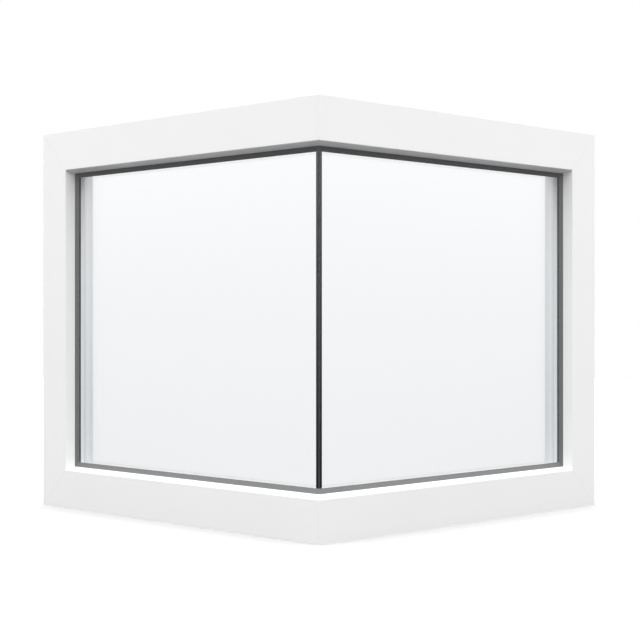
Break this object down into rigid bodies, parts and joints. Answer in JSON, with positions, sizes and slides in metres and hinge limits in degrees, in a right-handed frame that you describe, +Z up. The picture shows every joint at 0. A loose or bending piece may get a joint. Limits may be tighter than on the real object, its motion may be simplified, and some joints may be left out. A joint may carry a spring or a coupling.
{
  "type": "fixed glass corner window",
  "caption": "White plastic fixed window for an outside building corner, with sealed glass units that meet glass to glass and no corner post.",
  "frame": {"origin": "outside corner of the frame, where both weather faces meet the underside of the sill", "axes": "+Z up, +X along the right wing and +Y along the left wing as seen from outside, with the room on the +X +Y side"},
  "size_m": [0.95, 0.95, 0.9],
  "materials": {
    "white_upvc": "smooth satin extrusion",
    "grey_gasket": "matt",
    "pale_gasket": "matt",
    "black_seal": "smooth",
    "spacer": "satin",
    "setting_block": "moulded",
    "glass": "clear float glass"
  },
  "bodies": {
    "root": {"corner_joint": "black_seal", "left_corner_seal": "black_seal", "left_edge_seal": "black_seal", "left_head_bead": "white_upvc", "left_head_frame": "white_upvc", "left_head_inner_gasket": "pale_gasket", "left_head_outer_gasket": "grey_gasket", "left_inner_pane": "glass", "left_jamb_bead": "white_upvc", "left_jamb_frame": "white_upvc", "left_jamb_inner_gasket": "pale_gasket", "left_jamb_outer_gasket": "grey_gasket", "left_outer_pane": "glass", "left_setting_blocks": "setting_block", "left_sill_bead": "white_upvc", "left_sill_frame": "white_upvc", "left_sill_inner_gasket": "pale_gasket", "left_sill_outer_gasket": "grey_gasket", "left_spacer": "spacer", "right_corner_seal": "black_seal", "right_edge_seal": "black_seal", "right_head_bead": "white_upvc", "right_head_frame": "white_upvc", "right_head_inner_gasket": "pale_gasket", "right_head_outer_gasket": "grey_gasket", "right_inner_pane": "glass", "right_jamb_bead": "white_upvc", "right_jamb_frame": "white_upvc", "right_jamb_inner_gasket": "pale_gasket", "right_jamb_outer_gasket": "grey_gasket", "right_outer_pane": "glass", "right_setting_blocks": "setting_block", "right_sill_bead": "white_upvc", "right_sill_frame": "white_upvc", "right_sill_inner_gasket": "pale_gasket", "right_sill_outer_gasket": "grey_gasket", "right_spacer": "spacer"}
  },
  "joints": []
}
